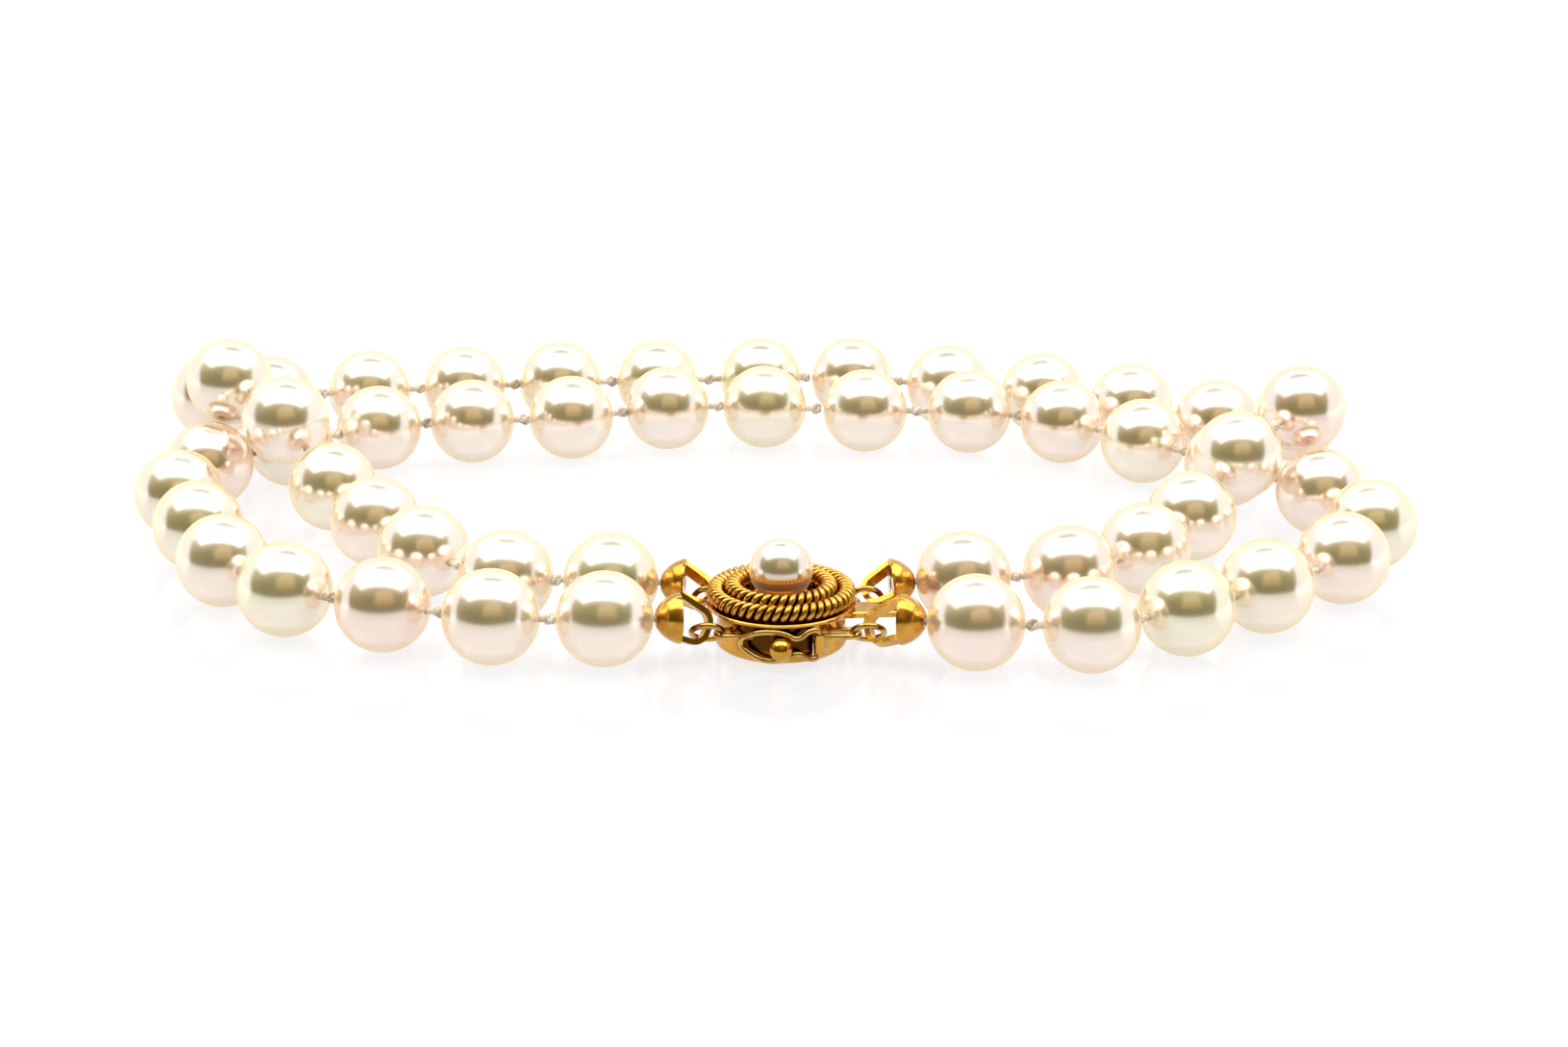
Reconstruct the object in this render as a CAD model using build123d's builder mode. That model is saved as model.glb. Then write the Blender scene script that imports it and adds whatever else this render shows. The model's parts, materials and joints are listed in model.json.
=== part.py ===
from build123d import *
import os
from math import cos, pi, radians, sin, sqrt, tan

os.makedirs("parts", exist_ok=True)

# Two strands of knotted pearls that meet in one round box clasp with a tongue.
# Millimetres. The origin is the centre of the clasp's flat base; +Z is up, and
# the strands leave the clasp to -X (left) and +X (right) and close behind it, at +Y.

# Pearls, silk and knots
PEARL_R = 3.25
BORE_R = 0.4
THREAD_R = 0.225
KNOT_R = 0.42
ARC_SHARE = 0.45  # how much of a run each arc of the silk may take
APEX_GAP = 0.05  # between a pearl and the cap that it hangs from
SILK_IN_CAP = 0.9
OPEN_KNOT_GAP = 0.62  # the right-hand silk stops this far from the closing knot

# Clasp box
BOX_R = 4.5  # at the base; the wall leans in from there to the top
BOX_TOP_R = 4.2
BOX_WALL = 0.35
BOX_TOP = 2.75
BOX_BASE_FILLET = 0.45
BASE_T = 0.3
PLATE_T = 0.25
PLATE_R = 5.0
PLATE_CHAMFER = 0.06
SPLIT_X = 2.1  # the tongue's end block closes the box to the right of this
SPLIT_GAP = 0.05

# The two rope rings and the pearl's seat
OUTER_ROPE = (4.42, 0.6, 3.62)  # ring radius, rope radius, height
INNER_ROPE = (3.2, 0.6, 3.96)
SEAT = (2.55, 3.75, 0.34)  # inner radius, outer radius, height
CUP_R = 1.75
CUP_H = 0.65
CUP_FOOT_R = 1.22
CUP_GAP = 0.03
TOP_PEARL_R = 2.125
TOP_PEARL_Z = 5.15
PEG_R = 0.35
PEG_TOP = 6.0

# Tongue: a folded spring strip on the end block
STRIP_T = 0.3
LOWER_Z = 0.45
UPPER_Z = 2.15
STRIP_HALF_W = 1.5
FOLD_HALF_W = 1.0
FOLD_X = -2.65
LEAF_TAPER = 0.8  # how far the strip widens from its fold
LEAF_GAP = 0.12  # between the fold and the leaf that swings on it
BLOCK_TOP = 2.6
NOTCH_HALF_W = 2.2
NOTCH_Z = 1.6
TAB_ROOT_X = 2.7
TAB_TIP_X = 8.1
TAB_ROOT_HALF_W = 1.3
TAB_TIP_HALF_W = 0.85
TAB_ROUND = 0.6
TAB_PROUD = 0.05  # the tab is this much thicker than the strip on each side
TAB_CHAMFER = 0.08
LIP_X = 1.8
LIP_L = 0.25
LIP_H = 0.22
SQUARE_TURN = 40.0  # degrees round the box from its front
SQUARE_Z = 0.92
SQUARE = (0.75, 0.95, 0.08)  # width, height, corner radius
SQUARE_T = 0.12
SQUARE_GAP = 0.02

# Safety catch: a figure of eight in round wire that lies round the box
CATCH_WIRE_R = 0.2
CATCH_R = 5.0
CATCH_Z = 1.5
CATCH_HALF = [(2.62, 0.98), (1.9, 1.0), (1.1, 0.4), (0.1, 1.0), (-1.4, 1.0)]
CATCH_TIP = -3.5
HINGE_TUBE_R = 0.33
HINGE_BORE_R = 0.225
HINGE_TUBE_H = 1.3
STUD_R = 0.775
STUD_OUT = 5.5
STUD_NECK_R = 0.35
HINGE_WEB = (0.26, 0.5)  # width and height of the web behind the hinge tube
HINGE_WEB_Z = 1.2
HINGE_WEB_GAP = 0.05
WALL_BITE = 0.15  # how deep soldered pieces reach into the wall

# Eyes and jump rings
EYE_Z = 1.75
EYE_Y = 3.1
EYE_R = 0.62
WIRE_R = 0.2
EYE_X = {"left": 4.3, "right": 5.2}  # the outermost wire's centre
RING_R = 1.05
RING_TILT = {"front": 45.0, "back": 115.0}
RING_UP = 0.2  # how far up its own slope a ring's centre is from the eye
RING_PULL = 0.44  # how far a ring's wire is drawn back through its eye
EYE_BITE = 0.3

# End caps and their bails
CAP_L = 1.6
CAP_R = 1.7
CAP_TIP_R = 0.55
CAP_WALL = 0.25
CAP_SLOPE = 3.0
CAP_BELLY = (0.78, 0.42)  # the dome's middle: share of the radius, and of the length
CAP_RIM = 0.15
CAP_BACK_HOLE_R = 0.4
SILK_HOLE_R = 0.325
BAIL_W = 0.88
BAIL_T = 0.36
BAIL_BIGHT_HALF = 1.2
BAIL_ROOT_HALF = 1.5
BAIL_FILLET = 1.1
BAIL_OVERRUN = 1.0  # the strap's blank runs on past the cap's back and is cut off there
BAIL_SOLDER = 0.01
BAIL_TILT = {"front_left": 30.0, "front_right": 45.0, "back_left": 65.0, "back_right": 65.0}
BAIL_UP = 0.3
BAIL_GAP = 0.3  # between the eye's wire and the bail, for the strands' swing

# The silk's route: one point at each pearl, from the clasp to the closing knot.
STRAND_X_LEFT = [
    (-11.5, -4.5, 3.29), (-19.0, -4.3, 3.25), (-26.4, -1.7, 3.25), (-33.6, 0.9, 3.25),
    (-38.8, 7.0, 3.25), (-41.2, 14.8, 3.25), (-44.3, 21.9, 3.25), (-43.2, 29.2, 3.25),
    (-37.3, 34.1, 3.25), (-31.0, 38.5, 3.25), (-23.9, 39.9, 3.25), (-16.1, 40.5, 3.25),
    (-8.8, 43.7, 3.25), (-1.1, 43.8, 3.25),
]
STRAND_X_RIGHT = [
    (12.7, -5.1, 3.29), (20.5, -6.1, 3.25), (27.1, -2.4, 3.25), (32.9, 2.0, 3.25),
    (39.0, 7.4, 3.25), (42.7, 14.9, 3.25), (39.6, 22.6, 3.25), (33.5, 28.9, 3.25),
    (27.6, 34.6, 3.25), (22.0, 39.9, 3.25), (14.7, 42.7, 3.25), (6.6, 42.4, 3.25),
]
STRAND_Y_LEFT = [
    (-11.4, 3.4, 3.29), (-19.2, 3.2, 3.25), (-25.0, 9.0, 3.25), (-28.8, 15.6, 3.25),
    (-32.5, 21.9, 3.25), (-36.4, 27.2, 7.5), (-41.7, 32.5, 9.3), (-44.6, 39.2, 5.1),
    (-40.6, 46.2, 3.25), (-32.6, 48.1, 3.25), (-25.2, 49.0, 3.25), (-17.6, 50.5, 3.25),
    (-9.8, 50.7, 3.25), (-1.9, 51.7, 3.25),
]
STRAND_Y_RIGHT = [
    (12.3, 3.7, 3.29), (19.9, 4.2, 3.25), (25.6, 9.7, 3.25), (29.2, 15.9, 3.25),
    (32.9, 21.5, 6.6), (39.0, 27.0, 8.8), (39.8, 34.6, 4.8), (33.3, 38.8, 3.25),
    (27.8, 44.4, 3.25), (20.8, 47.5, 3.25), (13.2, 49.4, 3.25), (5.8, 51.8, 3.25),
]
GROUP_SIZES = {14: (4, 4, 3, 3), 12: (3, 3, 3, 3)}


def save(builder, name):
    """Labels a finished piece and writes it."""
    builder.part.label = name
    export_step(builder.part, f"parts/{name}.step")


def side_of(corner):
    """-1 for a left-hand corner of the clasp and 1 for a right-hand one."""
    return -1 if corner.endswith("left") else 1


def depth_of(corner):
    """-1 for a front corner of the clasp and 1 for a back one."""
    return -1 if corner.startswith("front") else 1


def wall_r(height):
    """The box's outer radius at this height."""
    return BOX_R + (BOX_TOP_R - BOX_R) * height / BOX_TOP


def box_profile(inner, top):
    """The box's section up to a height, closed by the given inner points."""
    with BuildSketch(Plane.XZ) as profile:
        with BuildLine():
            Polyline((0, 0), (BOX_R, 0), (wall_r(top), top), *inner, close=True)
        make_face()
        fillet(profile.vertices().sort_by_distance((BOX_R, 0, 0))[0], BOX_BASE_FILLET)
    return profile.sketch


# ---------------------------------------------------------------- clasp box

with BuildPart() as can:
    hollow = [(BOX_TOP_R - BOX_WALL, BOX_TOP), (BOX_R - BOX_WALL, BASE_T), (0, BASE_T)]
    revolve(box_profile(hollow, BOX_TOP), axis=Axis.Z)
    split(bisect_by=Plane.YZ.offset(SPLIT_X), keep=Keep.BOTTOM)
save(can, "clasp_can")

with BuildPart() as top_plate:
    with Locations((0, 0, BOX_TOP)):
        Cylinder(PLATE_R, PLATE_T, align=(Align.CENTER, Align.CENTER, Align.MIN))
    chamfer(top_plate.edges().filter_by(GeomType.CIRCLE), PLATE_CHAMFER)
    with Locations((LIP_X, 0, BOX_TOP)):
        Box(LIP_L, 2 * STRIP_HALF_W, LIP_H, align=(Align.MIN, Align.CENTER, Align.MAX))
save(top_plate, "clasp_top_plate")

plate_top = BOX_TOP + PLATE_T
with BuildPart() as rope_seat:
    with BuildSketch(Plane.XY.offset(plate_top)):
        Circle(SEAT[1])
        Circle(SEAT[0], mode=Mode.SUBTRACT)
    extrude(amount=SEAT[2])
save(rope_seat, "clasp_rope_seat")

for name, (ring_r, rope_r, height) in {
    "clasp_rope_outer": OUTER_ROPE,
    "clasp_rope_inner": INNER_ROPE,
}.items():
    with BuildPart() as rope:
        with Locations((0, 0, height)):
            Torus(ring_r, rope_r)
    save(rope, name)

with BuildPart() as pearl_cup:
    with BuildSketch(Plane.XZ):
        with BuildLine():
            Polyline(
                (PEG_R, plate_top), (CUP_FOOT_R, plate_top),
                (CUP_R, plate_top + CUP_H), (PEG_R, plate_top + CUP_H), close=True,
            )
        make_face()
    revolve(axis=Axis.Z)
    with Locations((0, 0, TOP_PEARL_Z)):
        Sphere(TOP_PEARL_R + CUP_GAP, mode=Mode.SUBTRACT)
save(pearl_cup, "clasp_pearl_cup")

with BuildPart() as peg:
    with Locations((0, 0, plate_top)):
        Cylinder(PEG_R, PEG_TOP - plate_top, align=(Align.CENTER, Align.CENTER, Align.MIN))
save(peg, "clasp_pearl_peg")

with BuildPart() as top_pearl:
    with Locations((0, 0, TOP_PEARL_Z)):
        Sphere(TOP_PEARL_R)
    with Locations((0, 0, PEG_TOP)):
        Cylinder(PEG_R, PEG_TOP, align=(Align.CENTER, Align.CENTER, Align.MAX), mode=Mode.SUBTRACT)
save(top_pearl, "clasp_pearl")

with BuildPart() as stud:
    with Locations((0, -STUD_OUT, CATCH_Z)):
        Sphere(STUD_R)
    with BuildSketch(Plane((0, WALL_BITE - wall_r(CATCH_Z), CATCH_Z), z_dir=(0, -1, 0))):
        Circle(STUD_NECK_R)
    extrude(amount=STUD_OUT - wall_r(CATCH_Z))
save(stud, "clasp_catch_stud")


# ---------------------------------------------------------------- tongue

with BuildPart() as end_block:
    revolve(box_profile([(0, BLOCK_TOP)], BLOCK_TOP), axis=Axis.Z)
    split(bisect_by=Plane.YZ.offset(SPLIT_X + SPLIT_GAP), keep=Keep.TOP)
    with Locations((0, 0, NOTCH_Z)):
        Box(
            3 * BOX_R,
            2 * NOTCH_HALF_W,
            BOX_TOP,
            align=(Align.CENTER, Align.CENTER, Align.MIN),
            mode=Mode.SUBTRACT,
        )
save(end_block, "tongue_end_block")

fold_z = (LOWER_Z + UPPER_Z + STRIP_T) / 2
fold_r = (UPPER_Z - LOWER_Z) / 2
with BuildPart() as lower_leaf:
    with BuildSketch(Plane.XY.offset(LOWER_Z)):
        with BuildLine():
            Polyline(
                (FOLD_X, -FOLD_HALF_W), (FOLD_X + LEAF_TAPER, -STRIP_HALF_W),
                (SPLIT_X + SPLIT_GAP, -STRIP_HALF_W), (SPLIT_X + SPLIT_GAP, STRIP_HALF_W),
                (FOLD_X + LEAF_TAPER, STRIP_HALF_W), (FOLD_X, FOLD_HALF_W), close=True,
            )
        make_face()
    extrude(amount=STRIP_T)
    with BuildSketch(Plane((FOLD_X, FOLD_HALF_W, fold_z), x_dir=(1, 0, 0), z_dir=(0, -1, 0))):
        Circle(fold_r + STRIP_T / 2)
        Circle(fold_r - STRIP_T / 2, mode=Mode.SUBTRACT)
        Rectangle(BOX_R, BOX_R, align=(Align.MIN, Align.CENTER), mode=Mode.SUBTRACT)
    extrude(amount=2 * FOLD_HALF_W)
save(lower_leaf, "tongue_folded_leaf")

leaf_start = FOLD_X + LEAF_GAP
leaf_end = TAB_ROOT_X - TAB_PROUD
with BuildPart() as upper_leaf:
    with BuildSketch(Plane.XY.offset(UPPER_Z)):
        with BuildLine():
            Polyline(
                (leaf_start, -FOLD_HALF_W), (leaf_start + LEAF_TAPER, -STRIP_HALF_W),
                (leaf_end, -STRIP_HALF_W), (leaf_end, STRIP_HALF_W),
                (leaf_start + LEAF_TAPER, STRIP_HALF_W), (leaf_start, FOLD_HALF_W), close=True,
            )
        make_face()
    extrude(amount=STRIP_T)
save(upper_leaf, "tongue_press_leaf")

with BuildPart() as tab:
    with BuildSketch(Plane.XY.offset(UPPER_Z - TAB_PROUD)):
        with BuildLine():
            Polyline(
                (TAB_ROOT_X, -TAB_ROOT_HALF_W), (TAB_TIP_X, -TAB_TIP_HALF_W),
                (TAB_TIP_X, TAB_TIP_HALF_W), (TAB_ROOT_X, TAB_ROOT_HALF_W), close=True,
            )
        make_face()
        fillet(vertices().group_by(Axis.X)[-1], TAB_ROUND)
    extrude(amount=STRIP_T + 2 * TAB_PROUD)
    chamfer(tab.faces().sort_by(Axis.Z)[-1].edges(), TAB_CHAMFER)
save(tab, "tongue_press_tab")

# The small satin square on the end block's front, which leans as the wall does.
wall_slope = (BOX_R - BOX_TOP_R) / BOX_TOP
square_turn = radians(SQUARE_TURN)
square_r = wall_r(SQUARE_Z)
square_place = Plane(
    origin=(square_r * sin(square_turn), -square_r * cos(square_turn), SQUARE_Z),
    x_dir=(cos(square_turn), sin(square_turn), 0),
    z_dir=(sin(square_turn), -cos(square_turn), wall_slope),
)
with BuildPart() as square_plate:
    with BuildSketch(square_place.offset(SQUARE_GAP)):
        RectangleRounded(*SQUARE)
    extrude(amount=SQUARE_T)
save(square_plate, "tongue_square_plate")

hinge_turn = CATCH_HALF[0][0] / CATCH_R
hinge_x = CATCH_R * sin(hinge_turn)
hinge_y = -CATCH_R * cos(hinge_turn)
web_front = hinge_y + HINGE_BORE_R + HINGE_WEB_GAP
web_back = WALL_BITE - sqrt(wall_r(HINGE_WEB_Z) ** 2 - hinge_x**2)
with BuildPart() as hinge_tube:
    with Locations((hinge_x, hinge_y, CATCH_Z)):
        Cylinder(HINGE_TUBE_R, HINGE_TUBE_H)
    with Locations((hinge_x, web_front, HINGE_WEB_Z)):
        Box(
            HINGE_WEB[0],
            web_back - web_front,
            HINGE_WEB[1],
            align=(Align.CENTER, Align.MIN, Align.CENTER),
        )
    with Locations((hinge_x, hinge_y, CATCH_Z)):
        Cylinder(HINGE_BORE_R, 2 * HINGE_TUBE_H, mode=Mode.SUBTRACT)
save(hinge_tube, "tongue_catch_hinge_tube")


# ---------------------------------------------------------------- safety catch


def on_catch(along, up):
    """A point of the catch: so far along its curved face, and so far above its middle."""
    turn = along / CATCH_R
    return Vector(CATCH_R * sin(turn), -CATCH_R * cos(turn), CATCH_Z + up)


def arc_radii(points, closed=False):
    """The largest tangent arc that each corner's two runs allow."""
    count = len(points)
    radii = []
    for i in range(0 if closed else 1, count if closed else count - 1):
        before, after = points[i] - points[i - 1], points[(i + 1) % count] - points[i]
        turn = before.get_angle(after)
        radii.append(ARC_SHARE * min(before.length, after.length) / tan(radians(turn) / 2))
    return radii


upper_half = [on_catch(a, b) for a, b in CATCH_HALF]
lower_half = [on_catch(a, -b) for a, b in reversed(CATCH_HALF)]
catch_points = [on_catch(CATCH_HALF[0][0], 0)] + upper_half + [on_catch(CATCH_TIP, 0)] + lower_half
catch_points.append(on_catch(CATCH_HALF[0][0], -0.01))
with BuildPart() as catch:
    with BuildLine() as catch_line:
        FilletPolyline(*catch_points, radius=arc_radii(catch_points))
    with BuildSketch(Plane(catch_points[0], z_dir=(0, 0, 1))):
        Circle(CATCH_WIRE_R)
    sweep()
save(catch, "safety_catch")


# ---------------------------------------------------------------- eyes, rings, caps, bails


def wall_x(y):
    """How far out the box's wall is at this depth, level with the eyes."""
    return sqrt(wall_r(EYE_Z) ** 2 - y**2)


def ring_slope(corner):
    """The direction that a jump ring leans in, square to X."""
    lean = radians(RING_TILT[corner.split("_")[0]])
    return Vector(0, depth_of(corner) * cos(lean), sin(lean))


def make_eye(corner):
    """A wire eye soldered into the wall."""
    side, depth = side_of(corner), depth_of(corner)
    tip = EYE_X[corner.split("_")[1]] - EYE_R
    near_y, far_y = EYE_Y - EYE_R, EYE_Y + EYE_R
    inmost = SPLIT_X + SPLIT_GAP if side > 0 else 0
    starts = [
        (side * max(wall_x(y) - EYE_BITE, inmost), depth * y, EYE_Z) for y in (near_y, far_y)
    ]
    ends = [(side * tip, depth * y, EYE_Z) for y in (near_y, far_y)]
    with BuildPart() as eye:
        with BuildLine():
            Line(starts[0], ends[0])
            ThreePointArc(ends[0], (side * (tip + EYE_R), depth * EYE_Y, EYE_Z), ends[1])
            Line(ends[1], starts[1])
        with BuildSketch(Plane(starts[0], z_dir=(side, 0, 0))):
            Circle(WIRE_R)
        sweep()
    save(eye, f"eye_{corner}")


def make_ring(corner):
    """A jump ring that links an eye and a bail."""
    side = side_of(corner)
    slope = ring_slope(corner)
    reach = sqrt(RING_R**2 - RING_UP**2) - RING_PULL
    centre = Vector(
        side * (EYE_X[corner.split("_")[1]] + reach), depth_of(corner) * EYE_Y, EYE_Z
    )
    centre += slope * RING_UP
    with BuildPart() as ring:
        with Locations(Plane(centre, x_dir=(1, 0, 0), z_dir=Vector(1, 0, 0).cross(slope))):
            Torus(RING_R, WIRE_R)
    save(ring, f"jump_ring_{corner}")


def cap_frame(corner, pearl):
    """(the cap's apex, its direction towards the pearl), for the strand's first pearl."""
    end = bail_end(corner)
    flat = Vector(pearl.X - end.X, pearl.Y - end.Y, 0).normalized()
    out = Vector(flat.X, flat.Y, tan(radians(CAP_SLOPE))).normalized()
    return pearl - out * (PEARL_R + APEX_GAP), out


def bail_end(corner):
    """The middle of the outer face of a bail's bight."""
    x = EYE_X[corner.split("_")[1]] + WIRE_R + BAIL_GAP
    at = Vector(side_of(corner) * x, depth_of(corner) * EYE_Y, EYE_Z)
    return at + ring_slope(corner) * BAIL_UP


def make_cap(corner, pearl):
    """A domed cap with the silk's hole in its apex and a plate across its back."""
    apex, out = cap_frame(corner, pearl)
    across = Vector(0, 0, 1).cross(out)
    belly_r, belly_x = CAP_BELLY[0] * CAP_R, -CAP_BELLY[1] * CAP_L
    inner_r, inner_x = CAP_R - CAP_WALL, CAP_WALL - CAP_L
    with BuildPart() as cap:
        with BuildSketch(Plane(apex, x_dir=across, z_dir=across.cross(out))):
            with BuildLine():
                Line((SILK_HOLE_R, 0), (CAP_TIP_R, 0))
                ThreePointArc((CAP_TIP_R, 0), (belly_r, belly_x), (CAP_R, CAP_RIM - CAP_L))
                Polyline(
                    (CAP_R, CAP_RIM - CAP_L), (CAP_R, -CAP_L), (CAP_BACK_HOLE_R, -CAP_L),
                    (CAP_BACK_HOLE_R, inner_x), (inner_r, inner_x),
                )
                ThreePointArc(
                    (inner_r, inner_x),
                    (belly_r - CAP_WALL, belly_x - CAP_RIM),
                    (SILK_HOLE_R, -CAP_WALL),
                )
                Line((SILK_HOLE_R, -CAP_WALL), (SILK_HOLE_R, 0))
            make_face()
        revolve(axis=Axis(apex, out))
    save(cap, f"end_cap_{corner}")


def strap_outline(length, inset):
    """The corners of one side of the strap's loop: narrow at its bight, wide at the cap."""
    slope = (BAIL_ROOT_HALF - BAIL_BIGHT_HALF) / length
    root = BAIL_BIGHT_HALF + slope * (length + BAIL_OVERRUN) - inset
    bight = BAIL_BIGHT_HALF - inset
    far = length + BAIL_OVERRUN
    return [(inset, -bight), (far, -root), (far, root), (inset, bight)]


def make_bail(corner, pearl):
    """A wide flat strap bent into a loop, soldered to the cap's back."""
    apex, out = cap_frame(corner, pearl)
    back = apex - out * CAP_L
    end = bail_end(corner)
    along = (back - end).normalized()
    lean = radians(BAIL_TILT[corner])
    hole = Vector(0, -cos(lean), sin(lean))
    hole = (hole - along * hole.dot(along)).normalized()
    length = (back - end).length
    place = Plane(end, x_dir=along, z_dir=hole)
    with BuildPart() as bail:
        for inset, mode in ((0, Mode.ADD), (BAIL_T, Mode.SUBTRACT)):
            with BuildSketch(place):
                with BuildLine():
                    Polyline(*strap_outline(length, inset), close=True)
                make_face()
                bight = [v for v in vertices() if place.to_local_coords(v).X < BAIL_OVERRUN]
                fillet(bight, BAIL_FILLET - inset)
            extrude(amount=BAIL_W / 2, both=True, mode=mode)
        split(bisect_by=Plane(back - out * BAIL_SOLDER, z_dir=out), keep=Keep.BOTTOM)
    save(bail, f"cap_bail_{corner}")


# ---------------------------------------------------------------- strands


def silk_points(corner, pearls, last):
    """The silk's whole route, from inside the cap to its last point."""
    apex, out = cap_frame(corner, pearls[0])
    return [apex - out * SILK_IN_CAP] + pearls + [last]


def make_silk(name, points):
    """A plain round thread: straight runs joined by tangent arcs."""
    radii = arc_radii(points)
    print(name, "radii", " ".join(f"{r:.1f}" for r in radii))
    with BuildPart() as silk:
        with BuildLine() as line:
            FilletPolyline(*points, radius=radii)
        start = points[1] - points[0]
        with BuildSketch(Plane(points[0], z_dir=start)):
            Circle(THREAD_R)
        sweep()
    length = sum(e.length for e in line.edges())
    section = pi * THREAD_R**2
    print(name, f"length {length:.1f} volume/section/length {silk.part.volume / section / length:.4f}")
    save(silk, name)


def pearl_places(points):
    """Where each pearl sits on the silk's arcs, with Z along its bore."""
    places = []
    for before, at, after in zip(points, points[1:], points[2:]):
        run_in, run_out = at - before, after - at
        half = radians(run_in.get_angle(run_out)) / 2
        radius = ARC_SHARE * min(run_in.length, run_out.length) / tan(half)
        inward = (run_out.normalized() - run_in.normalized()).normalized()
        bore = (run_in.normalized() + run_out.normalized()).normalized()
        places.append(Plane(at + inward * radius * (1 / cos(half) - 1), z_dir=bore))
    return places


def make_pearls(name, places):
    """A few neighbouring pearls, each drilled through."""
    with BuildPart() as group:
        with Locations(*places):
            Sphere(PEARL_R)
            Cylinder(BORE_R, 2 * PEARL_R + 0.6, mode=Mode.SUBTRACT)
    save(group, name)


def make_knots(name, points, closing):
    """A knot on the silk between each two pearls, and the closing one if it's here."""
    places = []
    runs = list(zip(points[1:-2], points[2:-1]))
    for start, end in runs:
        places.append(Plane((start + end) / 2, z_dir=end - start))
    if closing:
        places.append(Plane(points[-1], z_dir=points[-1] - points[-2]))
    with BuildPart() as knots:
        with Locations(*places):
            Sphere(KNOT_R)
            Cylinder(THREAD_R + 0.01, 3 * KNOT_R, mode=Mode.SUBTRACT)
    save(knots, name)


def make_half(strand, side, corner, route, partner_end):
    """One half of a strand: silk, pearls, knots, cap and bail."""
    pearls = [Vector(*p) for p in route]
    meeting = (pearls[-1] + partner_end) / 2
    closing = side == "left"
    if not closing:
        meeting -= (meeting - pearls[-1]).normalized() * OPEN_KNOT_GAP
    points = silk_points(corner, pearls, meeting)
    make_silk(f"silk_{strand}_{side}", points)
    make_knots(f"knots_{strand}_{side}", points, closing)
    places = pearl_places(points)
    for number, size in enumerate(GROUP_SIZES[len(places)]):
        make_pearls(f"pearls_{strand}_{side}_{number + 1}", places[:size])
        places = places[size:]
    make_cap(corner, pearls[0])
    make_bail(corner, pearls[0])


for corner in ("front_left", "front_right", "back_left", "back_right"):
    make_eye(corner)
    make_ring(corner)

make_half("x", "left", "front_left", STRAND_X_LEFT, Vector(*STRAND_X_RIGHT[-1]))
make_half("x", "right", "front_right", STRAND_X_RIGHT, Vector(*STRAND_X_LEFT[-1]))
make_half("y", "left", "back_left", STRAND_Y_LEFT, Vector(*STRAND_Y_RIGHT[-1]))
make_half("y", "right", "back_right", STRAND_Y_RIGHT, Vector(*STRAND_Y_LEFT[-1]))
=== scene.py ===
import json
from math import cos, pi, radians, sin, tan
from random import Random

import bpy
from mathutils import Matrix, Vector


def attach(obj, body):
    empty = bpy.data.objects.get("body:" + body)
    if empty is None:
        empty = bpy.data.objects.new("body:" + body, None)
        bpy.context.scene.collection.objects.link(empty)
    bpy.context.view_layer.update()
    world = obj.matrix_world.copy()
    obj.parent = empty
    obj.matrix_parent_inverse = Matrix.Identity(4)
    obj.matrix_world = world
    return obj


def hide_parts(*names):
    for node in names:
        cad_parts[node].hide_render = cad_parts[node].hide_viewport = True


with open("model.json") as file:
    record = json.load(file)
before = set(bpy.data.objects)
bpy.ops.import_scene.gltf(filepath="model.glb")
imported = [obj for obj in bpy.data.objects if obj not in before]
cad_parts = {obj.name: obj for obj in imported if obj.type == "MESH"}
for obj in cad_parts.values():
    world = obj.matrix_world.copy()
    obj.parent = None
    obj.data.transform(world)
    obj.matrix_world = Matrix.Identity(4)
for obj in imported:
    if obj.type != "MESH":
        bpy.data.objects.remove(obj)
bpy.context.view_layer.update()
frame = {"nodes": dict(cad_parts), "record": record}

MM = 0.001

# Sizes in metres, as the CAD has them
PEARL_R = 3.25 * MM
BORE_R = 0.245 * MM  # the bore's mouth, closed up round the silk
THREAD_R = 0.225 * MM
KNOT_R = 0.42 * MM
TOP_PEARL_R = 2.125 * MM
TOP_PEARL_Z = 5.15 * MM

# The silk's routes: from inside the cap, past each pearl, to the closing knot
X_LEFT = [
    (-0.00737, -0.00377, 0.00307), (-0.0115, -0.0045, 0.00329), (-0.019, -0.0043, 0.00325),
    (-0.0264, -0.0017, 0.00325), (-0.0336, 0.0009, 0.00325), (-0.0388, 0.007, 0.00325),
    (-0.0412, 0.0148, 0.00325), (-0.0443, 0.0219, 0.00325), (-0.0432, 0.0292, 0.00325),
    (-0.0373, 0.0341, 0.00325), (-0.031, 0.0385, 0.00325), (-0.0239, 0.0399, 0.00325),
    (-0.0161, 0.0405, 0.00325), (-0.0088, 0.0437, 0.00325), (-0.0011, 0.0438, 0.00325),
    (0.00275, 0.0431, 0.00325),
]
X_RIGHT = [
    (0.00864, -0.00406, 0.00307), (0.0127, -0.0051, 0.00329), (0.0205, -0.0061, 0.00325),
    (0.0271, -0.0024, 0.00325), (0.0329, 0.002, 0.00325), (0.039, 0.0074, 0.00325),
    (0.0427, 0.0149, 0.00325), (0.0396, 0.0226, 0.00325), (0.0335, 0.0289, 0.00325),
    (0.0276, 0.0346, 0.00325), (0.022, 0.0399, 0.00325), (0.0147, 0.0427, 0.00325),
    (0.0066, 0.0424, 0.00325), (0.00336, 0.04299, 0.00325),
]
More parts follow.
